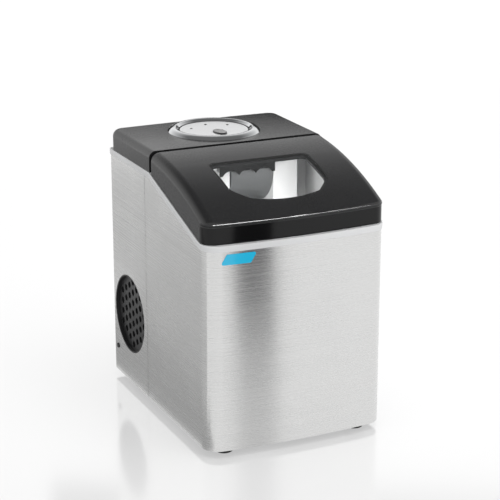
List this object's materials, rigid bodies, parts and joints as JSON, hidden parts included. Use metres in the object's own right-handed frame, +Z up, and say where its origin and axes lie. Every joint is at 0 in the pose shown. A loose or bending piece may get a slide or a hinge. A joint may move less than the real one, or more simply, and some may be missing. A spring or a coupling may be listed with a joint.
{
  "type": "countertop ice maker",
  "caption": "Portable ice maker with a hinged windowed lid, round control dial, steel cabinet, ice basket, tipping water tray and a compressor cooling circuit.",
  "frame": {"origin": "on the floor under the middle of the machine's outline", "axes": "+X to the right of a person facing the front, +Y from the front to the back, +Z up"},
  "size_m": [0.2444, 0.3384, 0.3513],
  "materials": {
    "steel": "horizontally brushed",
    "silver_plastic": "silver-grey moulded",
    "black_satin": "satin black",
    "black_gloss": "piano black",
    "chrome_ring": "polished",
    "black_rubber": "smooth",
    "fascia_silver": "silver lacquer",
    "button_black": "glossy",
    "lens": "smoked lens",
    "window_clear": "clear",
    "white_liner": "white moulded",
    "white_basket": "white translucent",
    "foam": "closed-cell foam",
    "dark_plastic": "moulded black",
    "grey_plastic": "grey moulded",
    "nickel": "nickel plated",
    "copper": "drawn copper",
    "aluminium_fin": "thin sheet",
    "black_enamel": "semi-gloss black",
    "galvanised": "galvanised sheet",
    "screw_metal": "black zinc",
    "bolt_metal": "zinc plated",
    "circuit_green": "solder mask",
    "clear_hose": "silicone",
    "badge_blue": "printed film"
  },
  "bodies": {
    "cabinet": {"base_pan": "dark_plastic", "rubber_feet": "black_rubber", "front_wrap": "steel", "rear_wrap": "steel", "side_grille_left": "dark_plastic", "side_grille_right": "dark_plastic", "top_trim": "silver_plastic", "rear_cover": "black_satin", "hinge_posts": "dark_plastic", "control_bezel": "chrome_ring", "dial_gasket": "black_rubber", "control_fascia": "fascia_silver", "indicator_lenses": "lens", "control_board": "circuit_green", "board_posts": "dark_plastic", "inner_liner": "white_liner", "insulation_foam": "foam", "drain_elbow": "grey_plastic", "evaporator_plate": "copper", "evaporator_fingers": "nickel", "mechanism_frame": "white_liner", "tray_bushes": "grey_plastic", "tray_motor": "dark_plastic", "water_pump": "dark_plastic", "pump_hose": "clear_hose", "water_spout": "grey_plastic", "fan_shroud": "dark_plastic", "fan_motor": "dark_plastic", "condenser_coil": "copper", "condenser_fins": "aluminium_fin", "condenser_stand": "galvanised", "compressor_shell": "black_enamel", "compressor_base": "black_enamel", "compressor_grommets": "black_rubber", "compressor_bolts": "bolt_metal", "relay_cover": "dark_plastic", "discharge_line": "copper", "suction_line": "copper", "filter_drier": "copper", "liquid_line": "copper", "capillary": "copper", "hot_gas_valve": "bolt_metal", "power_module": "circuit_green", "cord_gland": "dark_plastic", "cabinet_screws": "screw_metal", "front_badge": "badge_blue"},
    "lid": {"lid_shell": "black_satin", "lid_front_band": "black_gloss", "lid_window": "window_clear", "window_gasket": "black_rubber", "window_frame": "dark_plastic", "hinge_pins": "bolt_metal"},
    "button": {"power_button": "button_black"},
    "tray": {"water_tray": "grey_plastic", "tray_shaft": "bolt_metal"},
    "rake": {"ice_rake": "dark_plastic", "rake_rod": "bolt_metal"},
    "fan": {"fan_rotor": "dark_plastic"},
    "basket": {"ice_basket": "white_basket"},
    "plug": {"drain_plug": "dark_plastic"}
  },
  "joints": [
    {"name": "lid_hinge", "type": "hinge", "parent": "cabinet", "child": "lid", "pos_m": [0, 0.0104, 0.34], "axis": [-1, 0, 0], "range_deg": [0, 75]},
    {"name": "button_press", "type": "slide", "parent": "cabinet", "child": "button", "axis": [0, 0, -1], "range_m": [0, 0.0015], "stiffness_N_per_m": 800},
    {"name": "tray_tilt", "type": "hinge", "parent": "cabinet", "child": "tray", "pos_m": [0, 0.024, 0.322], "axis": [1, 0, 0], "range_deg": [0, 60]},
    {"name": "rake_swing", "type": "hinge", "parent": "cabinet", "child": "rake", "pos_m": [0, -0.029, 0.3343], "axis": [-1, 0, 0], "range_deg": [0, 30]},
    {"name": "fan_spin", "type": "hinge", "parent": "cabinet", "child": "fan", "pos_m": [-0.101, 0.099, 0.1055], "axis": [1, 0, 0], "continuous": true},
    {"name": "basket_lift", "type": "slide", "parent": "cabinet", "child": "basket", "axis": [0, 0, 1], "range_m": [0, 0.03]},
    {"name": "plug_pull", "type": "slide", "parent": "cabinet", "child": "plug", "axis": [1, 0, 0], "range_m": [0, 0.012]}
  ],
  "couplings": [
    {"joint": "rake_swing", "follows": "tray_tilt", "ratio": 0.5}
  ]
}
